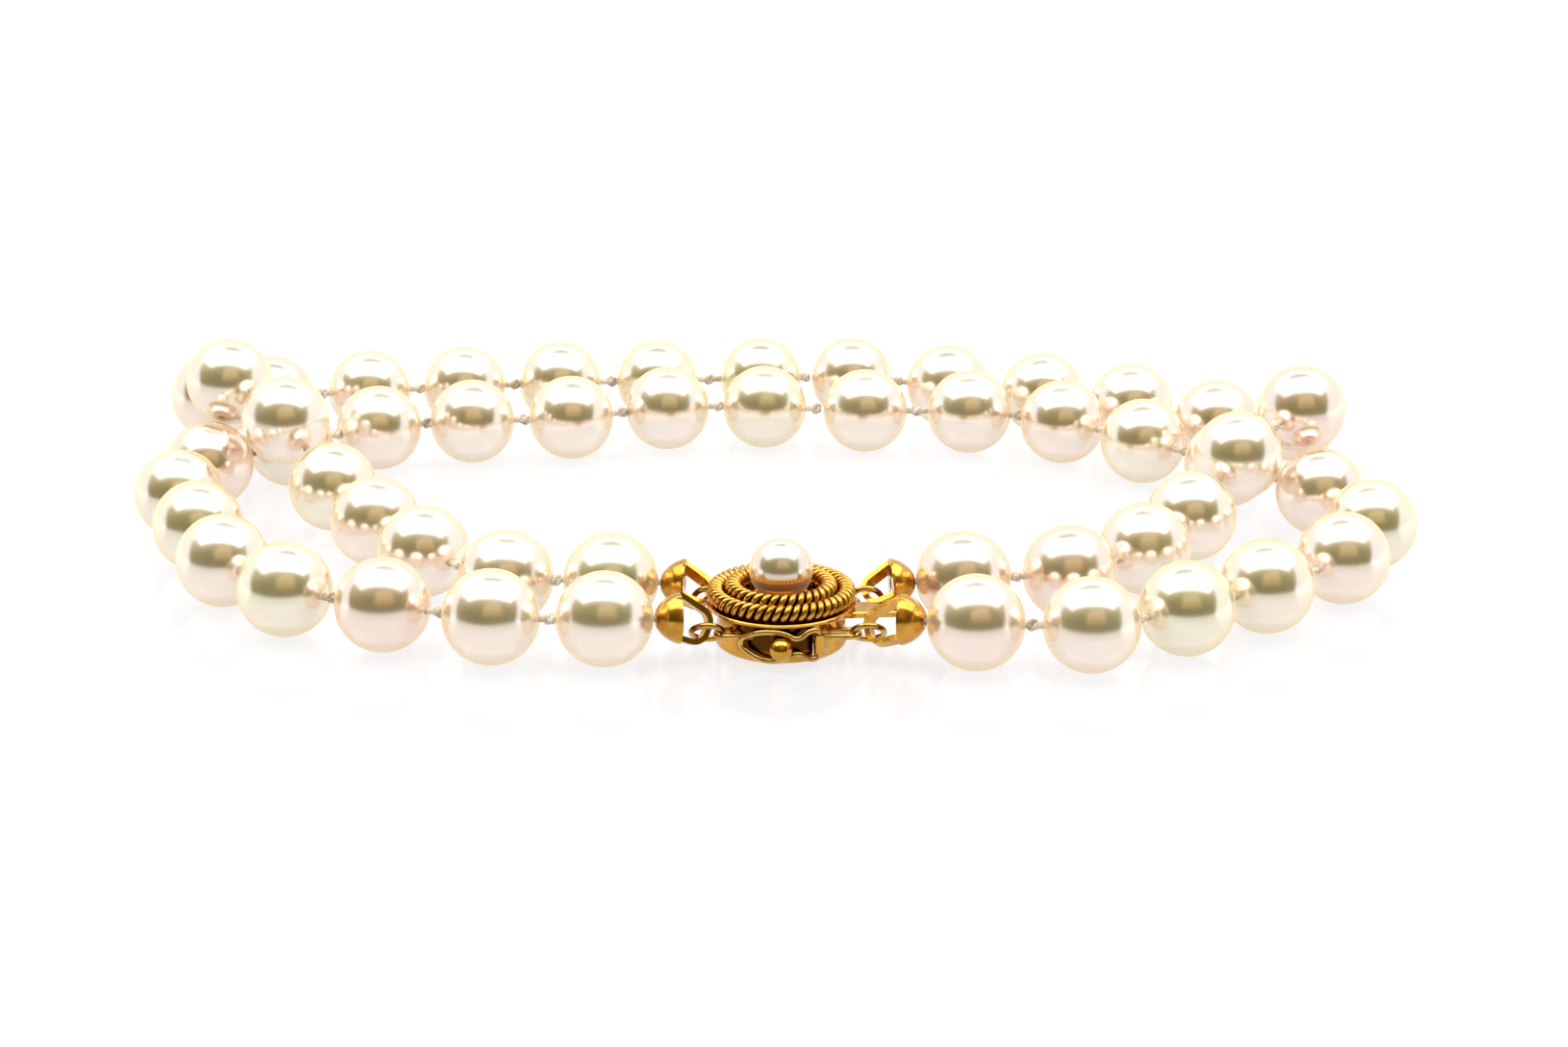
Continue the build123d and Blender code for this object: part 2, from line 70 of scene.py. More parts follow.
Y_LEFT = [
    (-0.00721, 0.00313, 0.00307), (-0.0114, 0.0034, 0.00329), (-0.0192, 0.0032, 0.00325),
    (-0.025, 0.009, 0.00325), (-0.0288, 0.0156, 0.00325), (-0.0325, 0.0219, 0.00325),
    (-0.0364, 0.0272, 0.0075), (-0.0417, 0.0325, 0.0093), (-0.0446, 0.0392, 0.0051),
    (-0.0406, 0.0462, 0.00325), (-0.0326, 0.0481, 0.00325), (-0.0252, 0.049, 0.00325),
    (-0.0176, 0.0505, 0.00325), (-0.0098, 0.0507, 0.00325), (-0.0019, 0.0517, 0.00325),
    (0.00195, 0.05175, 0.00325),
]
Y_RIGHT = [
    (0.00813, 0.00324, 0.00307), (0.0123, 0.0037, 0.00329), (0.0199, 0.0042, 0.00325),
    (0.0256, 0.0097, 0.00325), (0.0292, 0.0159, 0.00325), (0.0329, 0.0215, 0.0066),
    (0.039, 0.027, 0.0088), (0.0398, 0.0346, 0.0048), (0.0333, 0.0388, 0.00325),
    (0.0278, 0.0444, 0.00325), (0.0208, 0.0475, 0.00325), (0.0132, 0.0494, 0.00325),
    (0.0058, 0.0518, 0.00325), (0.00257, 0.05176, 0.00325),
]
ROUTES = {
    ("x", "left"): (X_LEFT, "front_left"),
    ("x", "right"): (X_RIGHT, "front_right"),
    ("y", "left"): (Y_LEFT, "back_left"),
    ("y", "right"): (Y_RIGHT, "back_right"),
}
# How many pearls go into each piece, by the number of pearls on the half strand
GROUP_SIZES = {14: (4, 4, 3, 3), 12: (3, 3, 3, 3)}


# ---------------------------------------------------------------- camera


CAMERA_PLACE = (0.0002, -0.2279, 0.0859)
CAMERA_DIP = 18.78  # degrees below level
LENS = 83.06
SENSOR_WIDTH = 36.0


def add_camera():
    """The camera, a little above the table and straight in front of the clasp."""
    data = bpy.data.cameras.new("camera")
    data.lens = LENS
    data.sensor_width = SENSOR_WIDTH
    data.sensor_fit = "HORIZONTAL"
    data.clip_start = 0.01
    camera = bpy.data.objects.new("camera", data)
    camera.location = CAMERA_PLACE
    camera.rotation_euler = (radians(90 - CAMERA_DIP), 0, 0)
    bpy.context.scene.collection.objects.link(camera)
    bpy.context.scene.camera = camera


add_camera()


# ---------------------------------------------------------------- mesh helpers


def link(obj):
    bpy.context.scene.collection.objects.link(obj)
    return obj


def make_object(name, verts, faces, attributes=()):
    """A smooth-shaded mesh object. Each attribute is a name with one float for every vertex."""
    mesh = bpy.data.meshes.new(name)
    mesh.from_pydata([tuple(v) for v in verts], [], faces)
    mesh.validate()
    for title, values in attributes:
        layer = mesh.attributes.new(title, "FLOAT", "POINT")
        layer.data.foreach_set("value", values)
    mesh.shade_smooth()
    return link(bpy.data.objects.new(name, mesh))


def grid_faces(rows, cols, first, wrap_rows=False):
    """Quads over rows of vertices, each row a closed loop of cols vertices."""
    faces = []
    for i in range(rows if wrap_rows else rows - 1):
        for j in range(cols):
            a = first + i * cols + j
            b = first + i * cols + (j + 1) % cols
            step = cols if i < rows - 1 else -(rows - 1) * cols
            faces.append((a, b, b + step, a + step))
    return faces


def frame_of(axis):
    """Two directions square to an axis and to each other."""
    helper = Vector((0, 0, 1)) if abs(axis.z) < 0.9 else Vector((1, 0, 0))
    side = axis.cross(helper).normalized()
    return side, side.cross(axis).normalized()


# ---------------------------------------------------------------- silk


def make_thread(name, points):
    """The silk as a bevelled NURBS curve along its route."""
    curve = bpy.data.curves.new(name, "CURVE")
    curve.dimensions = "3D"
    curve.resolution_u = 16
    spline = curve.splines.new("NURBS")
    spline.points.add(len(points) - 1)
    for place, point in zip(spline.points, points):
        place.co = (*point, 1.0)
        place.radius = THREAD_R
    spline.order_u = 3
    spline.use_endpoint_u = True
    line = line_of(curve)
    curve.bevel_depth = 1.0  # times each point's radius
    curve.bevel_resolution = 5
    curve.use_fill_caps = True
    return link(bpy.data.objects.new(name, curve)), line


def line_of(curve):
    """The points of the curve's own smooth line, read before it has a bevel."""
    holder = bpy.data.objects.new("line_reader", curve)
    mesh = bpy.data.meshes.new_from_object(holder)
    line = [v.co.copy() for v in mesh.vertices]
    bpy.data.meshes.remove(mesh)
    bpy.data.objects.remove(holder)
    return line


def nearest(line, point):
    """The number of the line's point nearest to this one."""
    target = Vector(point)
    return min(range(len(line)), key=lambda k: (line[k] - target).length_squared)


def knot_place(line, point):
    """(a knot's middle on the silk, the silk's direction there)"""
    i = nearest(line, point)
    ahead, behind = line[min(i + 1, len(line) - 1)], line[max(i - 1, 0)]
    return line[i], (ahead - behind).normalized()


def pearl_place(line, point):
    """(a pearl's middle on the silk, the way its bore runs, how far the silk bends aside by its skin)"""
    i = nearest(line, point)
    centre = line[i]
    ahead = next((p for p in line[i:] if (p - centre).length >= PEARL_R), line[-1])
    behind = next((p for p in reversed(line[:i]) if (p - centre).length >= PEARL_R), line[0])
    axis = (ahead - behind).normalized()
    bend = (ahead + behind) / 2 - centre
    return centre, axis, bend - axis * bend.dot(axis)


# ---------------------------------------------------------------- pearls

PROFILE_STEPS = 36
PEARL_SIDES = 56
RIM = 0.035 * MM  # rounding where the drilled hole meets the surface
BORE_MIDDLE = 0.8  # how far the bore's straight middle reaches, by the pearl's radius
MOST_SQUASH = 0.008  # how much thinner than long a pearl may be
MOST_LOBE = 0.004  # how far out of round it may be
LEAST_PEARL = 0.992  # the smallest pearl, by the largest


def pearl_profile(radius):
    """(distance from the bore's axis, height along it) from the bore's one end round to its other."""
    rim_angle = (BORE_R + RIM) / radius
    skin = -radius * cos(rim_angle)
    mouth = [
        (BORE_R, -BORE_MIDDLE * radius),
        (BORE_R, skin + 1.4 * RIM),
        (BORE_R + 0.3 * RIM, skin + 0.35 * RIM),
    ]
    outside = []
    for k in range(PROFILE_STEPS + 1):
        angle = rim_angle + (pi - 2 * rim_angle) * k / PROFILE_STEPS
        outside.append((radius * sin(angle), -radius * cos(angle)))
    return mouth + outside + [(r, -a) for r, a in reversed(mouth)]


def add_pearl(verts, faces, tones, place, radius, dice):
    """Adds one drilled pearl, nearly round, to the lists. Its bore bends with the silk."""
    centre, axis, bend = place
    side, up = frame_of(axis)
    first = len(verts)
    squash = dice.uniform(0.0, MOST_SQUASH)
    lobes = [(dice.uniform(0, MOST_LOBE), dice.uniform(0, 2 * pi), k) for k in (2, 3)]
    tone = dice.random()
    profile = pearl_profile(radius)
    for r, a in profile:
        for j in range(PEARL_SIDES):
            turn = 2 * pi * j / PEARL_SIDES
            fall = sum(size * (1 - cos(k * turn + phase)) / 2 for size, phase, k in lobes)
            wide = r * (1 - fall * r / radius - squash * r / radius)
            arm = axis * a + side * (wide * cos(turn)) + up * (wide * sin(turn))
            bent = arm + bend * (a / radius) ** 2
            verts.append(centre + bent * (arm.length / bent.length))
            tones.append(tone)
    faces += grid_faces(len(profile), PEARL_SIDES, first, wrap_rows=True)


def make_pearls(name, places, dice):
    """A few neighbouring pearls as one piece."""
    verts, faces, tones = [], [], []
    for place in places:
        radius = PEARL_R * dice.uniform(LEAST_PEARL, 1.0)
        add_pearl(verts, faces, tones, place, radius, dice)
    return make_object(name, verts, faces, [("tone", tones)])


# ---------------------------------------------------------------- knots


def tube_along(verts, faces, path, radius, sides, closed):
    """Adds a round tube along a path, with frames carried from point to point."""
    count = len(path)
    first = len(verts)
    normal = None
    for i, point in enumerate(path):
        ahead = path[(i + 1) % count] if closed else path[min(i + 1, count - 1)]
        behind = path[i - 1] if closed else path[max(i - 1, 0)]
        along = (ahead - behind).normalized()
        if normal is None:
            normal = frame_of(along)[0]
        normal = (normal - along * normal.dot(along)).normalized()
        other = along.cross(normal)
        width = radius if closed or 0 < i < count - 1 else radius * 0.4
        for j in range(sides):
            turn = 2 * pi * j / sides
            verts.append(point + normal * (width * cos(turn)) + other * (width * sin(turn)))
    faces += grid_faces(count, sides, first, wrap_rows=closed)
    if not closed:
        faces.append(tuple(first + j for j in reversed(range(sides))))
        faces.append(tuple(first + (count - 1) * sides + j for j in range(sides)))


KNOT_STEPS = 44
KNOT_SIDES = 10
KNOT_STRAND_R = 0.17 * MM
KNOT_LENGTH = 0.75  # by its width
WISP_R = 0.018 * MM
WISP_SIDES = 5


def add_knot(verts, faces, centre, axis, size, dice):
    """A pulled-tight overhand knot, with the silk's line through its middle."""
    side, up = frame_of(axis)
    start = dice.uniform(0, 2 * pi)
    reach = size * KNOT_R - KNOT_STRAND_R
    path = []
    for k in range(KNOT_STEPS):
        t = 2 * pi * k / KNOT_STEPS
        across = (2 + cos(3 * t)) / 3 * reach
        path.append(
            centre
            + side * (across * cos(2 * t + start))
            + up * (across * sin(2 * t + start))
            + axis * (sin(3 * t) * KNOT_LENGTH * reach)
        )
    tube_along(verts, faces, path, KNOT_STRAND_R, KNOT_SIDES, closed=True)


def add_wisp(verts, faces, centre, axis, dice):
    """A stray fibre of silk that stands out of a knot."""
    side, up = frame_of(axis)
    turn = dice.uniform(0, 2 * pi)
    out = side * cos(turn) + up * sin(turn)
    lean = axis * dice.uniform(-0.8, 0.8)
    length = dice.uniform(0.5, 0.95) * MM
    curl = up * cos(turn + 1.2) - side * sin(turn + 1.2)
    path = [
        centre + (out + lean * f) * (length * f) + curl * (0.35 * length * f * f)
        for f in (0.2, 0.45, 0.7, 1.0)
    ]
    tube_along(verts, faces, path, WISP_R, WISP_SIDES, closed=False)


def make_knots(name, places, dice):
    """The knots of one half strand as one piece."""
    verts, faces = [], []
    for centre, axis in places:
        add_knot(verts, faces, centre, axis, dice.uniform(0.98, 1.12), dice)
        for _ in range(dice.choice((1, 2, 2))):
            add_wisp(verts, faces, centre, axis, dice)
    return make_object(name, verts, faces)


def knot_places(line, points, closing):
    """One place between each two pearls, and the closing knot at the end if it's here."""
    runs = list(zip(points[1:-2], points[2:-1]))
    places = [knot_place(line, (Vector(a) + Vector(b)) / 2) for a, b in runs]
    if closing:
        places.append(knot_place(line, points[-1]))
    return places


slotted = []  # (piece, its material slot)
for seed, ((strand, hand), (points, corner)) in enumerate(ROUTES.items()):
    dice = Random(40 + seed)
    body = f"strands_{hand}"
    thread, line = make_thread(f"thread_{strand}_{hand}", points)
    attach(thread, body)
    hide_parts(f"silk_{strand}_{hand}")
    slotted.append((thread, "silk_thread"))

    knot_spots = knot_places(line, points, closing=hand == "left")
    knots = make_knots(f"tied_knots_{strand}_{hand}", knot_spots, dice)
    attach(knots, body)
    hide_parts(f"knots_{strand}_{hand}")
    slotted.append((knots, "silk_knot"))

    places = [pearl_place(line, p) for p in points[1:-1]]
    rows = []
    for number, size in enumerate(GROUP_SIZES[len(places)], 1):
        row = make_pearls(f"pearl_row_{strand}_{hand}_{number}", places[:size], dice)
        places = places[size:]
        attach(row, body)
        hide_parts(f"pearls_{strand}_{hand}_{number}")
        rows.append(row)
    slotted += [(row, "strand_pearl") for row in rows]


# ---------------------------------------------------------------- clasp ornament

ROPE_SIDES = 12
STEPS_PER_TWIST = 18
ROPE_WIRE_R = 0.225 * MM
ROPE_LAY_R = 0.365 * MM  # from the rope's middle to the middle of each of its wires
# the rope's hollows get painted shade; this sets how far round each wire it reaches
CREVICE_SHADE_REACH = 0.8  # how far round a wire its hollow reaches, as a cosine
OUTER_ROPE_R, OUTER_ROPE_Z, OUTER_TWISTS = 4.42 * MM, 3.62 * MM, 25
INNER_ROPE_R, INNER_ROPE_Z, INNER_TWISTS = 3.2 * MM, 3.96 * MM, 18
SEAT_R, SEAT_Z = 2.02 * MM, 3.16 * MM  # the ring of granules
GRANULE_R = 0.165 * MM
GRANULES = 36
GRANULE_RINGS, GRANULE_SIDES = 8, 12
TOP_PEARL_RINGS, TOP_PEARL_SIDES = 48, 72
TOP_PEARL_TONE = 0.35


def add_rope_strand(verts, faces, crevice_shades, ring_r, height, twists, start):
    """One wire of a twisted ring."""
    count = twists * STEPS_PER_TWIST
    first = len(verts)

    def centre(k):
        round_ring = 2 * pi * k / count
        twist = twists * round_ring + start
        reach = ring_r + ROPE_LAY_R * cos(twist)
        rise = height + ROPE_LAY_R * sin(twist)
        return Vector((reach * cos(round_ring), reach * sin(round_ring), rise))

    for k in range(count):
        round_ring = 2 * pi * k / count
        twist = twists * round_ring + start
        outward = Vector((cos(round_ring) * cos(twist), sin(round_ring) * cos(twist), sin(twist)))
        along = (centre(k + 1) - centre(k - 1)).normalized()
        outward = (outward - along * outward.dot(along)).normalized()
        other = along.cross(outward)
        for j in range(ROPE_SIDES):
            turn = 2 * pi * j / ROPE_SIDES
            arm = outward * (ROPE_WIRE_R * cos(turn)) + other * (ROPE_WIRE_R * sin(turn))
            verts.append(centre(k) + arm)
            # how far this point lies in the rope's hollow, for the shade painted there
            crevice_shades.append(min(1.0, max(0.0, CREVICE_SHADE_REACH - cos(turn)) / CREVICE_SHADE_REACH))
    faces += grid_faces(count, ROPE_SIDES, first, wrap_rows=True)


def make_rope(name, ring_r, height, twists):
    """A ring of two wires twisted together, with how deep each point lies in the hollows kept for
    painted shade.
    """
    verts, faces, crevice_shades = [], [], []
    for start in (0, pi):
        add_rope_strand(verts, faces, crevice_shades, ring_r, height, twists, start)
    return make_object(name, verts, faces, [("crevice_shade", crevice_shades)])


def add_ball(verts, faces, centre, radius, rings, sides):
    """A small closed ball."""
    first = len(verts)
    for i in range(1, rings):
        angle = pi * i / rings
        for j in range(sides):
            turn = 2 * pi * j / sides
            out = Vector((sin(angle) * cos(turn), sin(angle) * sin(turn), -cos(angle)))
            verts.append(centre + out * radius)
    faces += grid_faces(rings - 1, sides, first)
    verts.append(centre - Vector((0, 0, radius)))
    verts.append(centre + Vector((0, 0, radius)))
    bottom, top = len(verts) - 2, len(verts) - 1
    last = first + (rings - 2) * sides
    for j in range(sides):
        faces.append((first + (j + 1) % sides, first + j, bottom))
        faces.append((last + j, last + (j + 1) % sides, top))


def make_granules():
    """A ring of gold granules round the pearl's seat."""
    verts, faces = [], []
    for k in range(GRANULES):
        turn = 2 * pi * (k + 0.5) / GRANULES
        centre = Vector((SEAT_R * cos(turn), SEAT_R * sin(turn), SEAT_Z))
        add_ball(verts, faces, centre, GRANULE_R, GRANULE_RINGS, GRANULE_SIDES)
    return make_object("granule_ring", verts, faces)


def make_clasp_pearl():
    """The pearl on the clasp, a closed ball with fine faces."""
    verts, faces = [], []
    centre = Vector((0, 0, TOP_PEARL_Z))
    add_ball(verts, faces, centre, TOP_PEARL_R, TOP_PEARL_RINGS, TOP_PEARL_SIDES)
    return make_object("top_pearl", verts, faces, [("tone", [TOP_PEARL_TONE] * len(verts))])


outer_rope = make_rope("twisted_rope_outer", OUTER_ROPE_R, OUTER_ROPE_Z, OUTER_TWISTS)
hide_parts("clasp_rope_outer")
inner_rope = make_rope("twisted_rope_inner", INNER_ROPE_R, INNER_ROPE_Z, INNER_TWISTS)
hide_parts("clasp_rope_inner")
granules = make_granules()
top_pearl = make_clasp_pearl()
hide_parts("clasp_pearl")
for piece, finish in (
    (outer_rope, "rope_gold"),
    (inner_rope, "rope_gold"),
    (granules, "clasp_gold"),
    (top_pearl, "clasp_pearl"),
):
    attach(piece, "clasp_box")
    slotted.append((piece, finish))


# ---------------------------------------------------------------- materials


def set_stops(ramp_node, stops):
    """Gives a colour ramp its stops, each a (position, colour)."""
    elements = ramp_node.color_ramp.elements
    while len(elements) < len(stops):
        elements.new(0.5)
    for element, (position, colour) in zip(elements, stops):
        element.position = position
        element.color = (*colour, 1.0)


class Nodes:
    """A material's node tree, with short ways to add to it."""

    def __init__(self, name):
        self.material = bpy.data.materials.new(name)
        self.material.use_nodes = True
        self.tree = self.material.node_tree
        self.shader = self.tree.nodes["Principled BSDF"]
        self.coords = self.add("ShaderNodeTexCoord").outputs["Object"]

    def add(self, kind, **settings):
        node = self.tree.nodes.new(kind)
        for key, value in settings.items():
            setattr(node, key, value)
        return node

    def join(self, output, socket):
        self.tree.links.new(output, socket)

    def noise(self, scale, detail=2.0, rough=0.5):
        node = self.add("ShaderNodeTexNoise")
        node.inputs["Scale"].default_value = scale
        node.inputs["Detail"].default_value = detail
        node.inputs["Roughness"].default_value = rough
        self.join(self.coords, node.inputs["Vector"])
        return node.outputs["Fac"]

    def attribute(self, name):
        return self.add("ShaderNodeAttribute", attribute_name=name).outputs["Fac"]

    def ramp(self, value, stops):
        """A value turned into a colour."""
        node = self.add("ShaderNodeValToRGB")
        set_stops(node, stops)
        self.join(value, node.inputs["Fac"])
        return node.outputs["Color"]

    def span(self, value, low, high, from_low=0.3, from_high=0.7):
        """A value stretched from its own range to low..high."""
        node = self.add("ShaderNodeMapRange")
        node.inputs["From Min"].default_value = from_low
        node.inputs["From Max"].default_value = from_high
        node.inputs["To Min"].default_value = low
        node.inputs["To Max"].default_value = high
        self.join(value, node.inputs["Value"])
        return node.outputs["Result"]

    def fade(self, axis, start, full, most=1.0):
        """A value that climbs from 0 to most along one of the object's axes."""
        node = self.add("ShaderNodeSeparateXYZ")
        self.join(self.coords, node.inputs["Vector"])
        return self.span(node.outputs[axis], 0.0, most, start, full)

    def calculate(self, operation, a, b):
        node = self.add("ShaderNodeMath", operation=operation)
        self.join(a, node.inputs[0])
        self.join(b, node.inputs[1])
        return node.outputs[0]

    def mix(self, factor, a, b, blend="MIX"):
        """Two colours mixed by a value or a number."""
        node = self.add("ShaderNodeMix", data_type="RGBA", blend_type=blend)
        if isinstance(factor, float):
            node.inputs["Factor"].default_value = factor
        else:
            self.join(factor, node.inputs["Factor"])
        for socket, colour in ((node.inputs[6], a), (node.inputs[7], b)):
            if isinstance(colour, tuple):
                socket.default_value = (*colour, 1.0)
            else:
                self.join(colour, socket)
        return node.outputs[2]

    def bump(self, height, strength, distance, normal=None):
        node = self.add("ShaderNodeBump")
        node.inputs["Strength"].default_value = strength
        node.inputs["Distance"].default_value = distance
        self.join(height, node.inputs["Height"])
        if normal is not None:
            self.join(normal, node.inputs["Normal"])
        return node.outputs["Normal"]

    def finish(self, colour, roughness, normal, **constants):
        """Joins the main sockets and sets the shader's constants."""
        for value, name in ((colour, "Base Color"), (roughness, "Roughness"), (normal, "Normal")):
            if value is not None:
                self.join(value, self.shader.inputs[name])
        for key, value in constants.items():
            self.shader.inputs[key.replace("_", " ")].default_value = value
        return self.material


CREAM = (0.94, 0.845, 0.76)
ROSE = (0.95, 0.775, 0.715)
GREEN = (0.89, 0.86, 0.69)
# the colour of the gold seat's reflection, painted on the clasp's pearl
GOLD_REFLECTION_COLOUR = (0.85, 0.47, 0.09)
BRIGHT = (0.68, 0.36, 0.065)
DEEP = (0.45, 0.2, 0.018)
# painted shade, mixed into the gold in the rope's hollows and on the box under its plate and behind the
# catch
PAINTED_SHADE = (0.06, 0.018, 0.002)
WIRE_BRIGHT = (0.66, 0.42, 0.12)
WIRE_DEEP = (0.38, 0.2, 0.04)
STRIP = (0.82, 0.56, 0.2)
SATIN = (0.78, 0.54, 0.2)

# heights between which the gold seat's painted reflection fades out up the clasp's pearl
GOLD_REFLECTION_FULL, GOLD_REFLECTION_END = 5.08 * MM, 5.38 * MM  # heights on the clasp's pearl
# Where shade is painted on the box: (axis, start, where it's full, how far it goes)
SHADE_UNDER_PLATE = ("Z", 1.9 * MM, 2.5 * MM, 0.9)
SHADE_BEHIND_CATCH = [
    ("X", -3.1 * MM, -2.4 * MM),
    ("X", 3.0 * MM, 2.3 * MM),
    ("Y", -2.6 * MM, -3.0 * MM, 0.95),
    ("Z", 0.45 * MM, 1.0 * MM),
]


def nacre(name, cream, rose, green, painted_gold_reflection=False):
    """Nacre: a cream body with rose and green overtones under a high lustre.

    gilded paints a reflection of the gold seat into the colour of the lower half."""
    n = Nodes(name)
    tone = n.ramp(n.attribute("tone"), [(0.0, rose), (0.4, cream), (0.6, cream), (1.0, green)])
    cloud = n.noise(190.0, 1.5)
    colour = n.mix(n.span(cloud, 0.0, 0.35), tone, rose)
    fine = n.noise(900.0, 3.0)
    colour = n.mix(n.span(fine, 0.0, 0.3, 0.45, 0.75), colour, green)
    if painted_gold_reflection:
        # painted reflection of the gold seat, full low on the pearl and fading out above
        colour = n.mix(n.fade("Z", GOLD_REFLECTION_END, GOLD_REFLECTION_FULL), colour, GOLD_REFLECTION_COLOUR)
    roughness = n.span(n.noise(420.0, 2.0), 0.19, 0.23)
    skin = n.bump(n.noise(1500.0, 2.0), 0.12, 0.00002)
    normal = n.bump(n.noise(260.0, 1.0), 0.15, 0.00012, skin)
    return n.finish(
        colour,
        roughness,
        normal,
        Metallic=0.93,
        Specular_Tint=(1.0, 0.9, 0.7, 1.0),
        Sheen_Weight=0.7,
        Sheen_Roughness=0.6,
        Sheen_Tint=(1.0, 0.79, 0.48, 1.0),
    )


def silk(name, pale, dark, twist_scale):
    """Twisted silk: fine turns of fibre, darker in the grooves between them, and patchy in tone."""
    n = Nodes(name)
    turns = n.add("ShaderNodeTexWave", wave_type="BANDS", bands_direction="DIAGONAL")
    turns.inputs["Scale"].default_value = twist_scale
    turns.inputs["Distortion"].default_value = 2.0
    turns.inputs["Detail"].default_value = 2.0
    n.join(n.coords, turns.inputs["Vector"])
    soil = n.noise(900.0, 3.0)
    base = n.mix(n.span(soil, 0.0, 1.0, 0.35, 0.65), pale, dark)
    # darker in the grooves between the turns
    colour = n.mix(n.span(turns.outputs["Fac"], 0.45, 0.0, 0.0, 0.8), base, dark)
    normal = n.bump(turns.outputs["Fac"], 0.6, 0.00006)
    roughness = n.span(soil, 0.55, 0.8)
    return n.finish(colour, roughness, normal, Sheen_Weight=0.3, Sheen_Roughness=0.4)


def gold(name, bright, deep, polish, wear=600.0, grain=None, crevice_shade=False, painted_box_shade=False):
    """Polished yellow gold, with its polish broken by fine wear, and painted shade where it is asked
    for.

    polish is the lowest and the highest roughness; grain is how fine the scratches are along each
    axis; crevice paints shade into the hollows between twisted wires; dulled paints shade on the box
    under its plate and behind the safety catch."""
    n = Nodes(name)
    patches = n.noise(wear, 3.0, 0.6)
    colour = n.mix(n.span(patches, 0.0, 0.8, 0.4, 0.7), bright, deep)
    if crevice_shade:
        # painted shade in the hollows between the rope's wires
        depth = n.span(n.attribute("crevice_shade"), 0.0, 1.0, 0.1, 0.9)
        colour = n.mix(depth, colour, PAINTED_SHADE)
    # painted shade on the box under its plate and behind the safety catch
    if painted_box_shade:
        behind = n.fade(*SHADE_BEHIND_CATCH[0])
        for edge in SHADE_BEHIND_CATCH[1:]:
            behind = n.calculate("MULTIPLY", behind, n.fade(*edge))
        dark = n.calculate("MAXIMUM", n.fade(*SHADE_UNDER_PLATE), behind)
        colour = n.mix(dark, colour, PAINTED_SHADE)
    roughness = n.span(n.noise(wear * 2.2, 3.0), *polish)
    normal = n.bump(n.noise(wear * 1.3, 2.0), 0.35, 0.00006)
    if grain:
        stretched = n.add("ShaderNodeMapping")
        stretched.inputs["Scale"].default_value = grain
        n.join(n.coords, stretched.inputs["Vector"])
        scratches = n.add("ShaderNodeTexNoise")
        scratches.inputs["Scale"].default_value = 1.0
        scratches.inputs["Detail"].default_value = 4.0
        n.join(stretched.outputs["Vector"], scratches.inputs["Vector"])
        normal = n.bump(scratches.outputs["Fac"], 0.5, 0.00003, normal)
    return n.finish(colour, roughness, normal, Metallic=1.0)


SLOT_LOOKS = {
    "strand_pearl": nacre("nacre_cream", CREAM, ROSE, GREEN),
    "clasp_pearl": nacre(
        "nacre_clasp_pearl", (0.86, 0.77, 0.71), (0.86, 0.75, 0.7), (0.84, 0.77, 0.69), painted_gold_reflection=True
    ),
    "silk_thread": silk("twisted_silk", (0.86, 0.75, 0.58), (0.52, 0.39, 0.25), 2600.0),
    "silk_knot": silk("knotted_silk", (0.93, 0.83, 0.68), (0.4, 0.28, 0.16), 1900.0),
    "clasp_gold": gold("gold_polished", BRIGHT, DEEP, (0.09, 0.2)),
    "rope_gold": gold("gold_rope", BRIGHT, DEEP, (0.12, 0.26), wear=900.0, crevice_shade=True),
    "cap_gold": gold("gold_caps", BRIGHT, DEEP, (0.1, 0.24), grain=(900.0, 5200.0, 900.0)),
    "wire_gold": gold("gold_wire", WIRE_BRIGHT, WIRE_DEEP, (0.1, 0.22), wear=1100.0),
    "spring_gold": gold("gold_strip", STRIP, DEEP, (0.16, 0.3), grain=(5200.0, 600.0, 900.0)),
    "satin_gold": gold("gold_satin", SATIN, DEEP, (0.38, 0.5), grain=(700.0, 700.0, 9000.0)),
}


def dress(obj, material):
    obj.data.materials.clear()
    obj.data.materials.append(material)


for piece, finish in slotted:
    dress(piece, SLOT_LOOKS[finish])
# the box's gold, with shade painted under its plate and behind the safety catch
box_gold = gold("gold_box_painted_shade", BRIGHT, DEEP, (0.09, 0.2), painted_box_shade=True)
for part in frame["record"]["subparts"]:
    look = box_gold if part["node"] == "clasp_can" else SLOT_LOOKS[part["material_slot"]]
    for material_slot in frame["nodes"][part["node"]].material_slots:
        material_slot.material = look


# ---------------------------------------------------------------- studio


FLOOR_HALF = 3.0
FLOOR_GLOW = 0.775
SKY = 1.06
SOFTBOX_RADIANCE = 2.2
SOFTBOX_SIZE = (1.1, 0.7)
SOFTBOX_PLACE = (0, 0.15, 0.5)
OVAL_PLACE = (0.0, 0.27, 0.45)
OVAL_HALF = (0.2, 0.11)
OVAL_STEPS = 32
CARD_ROWS = 14

# Cards: (azimuth of the foot, azimuth of the top edge, elevation of the top edge) in degrees,
# from one end to the other, and the stops of the colour from bottom to top
SIDE_CARD = [
    (-79, -103, 32), (-75, -97, 35), (-69, -88, 40), (-61, -78, 46), (-51, -66, 52), (-41, -54, 57),
    (-31, -40, 60), (-21, -27, 62), (-11, -14, 63.5), (0, 0, 64), (9, 13, 63.5), (17, 26, 62),
    (26, 39, 60), (35, 52, 57), (44, 64, 52), (52, 75, 46), (58, 84, 41), (63, 91, 37),
]
SIDE_STOPS = [
    (0.0, (0.13, 0.105, 0.0)),
    (0.2, (0.15, 0.12, 0.0)),
    (0.4, (0.21, 0.175, 0.02)),
    (0.65, (0.34, 0.29, 0.11)),
    (1.0, (0.48, 0.43, 0.24)),
]
SIDE_R, SIDE_FOOT = 0.7, -0.001
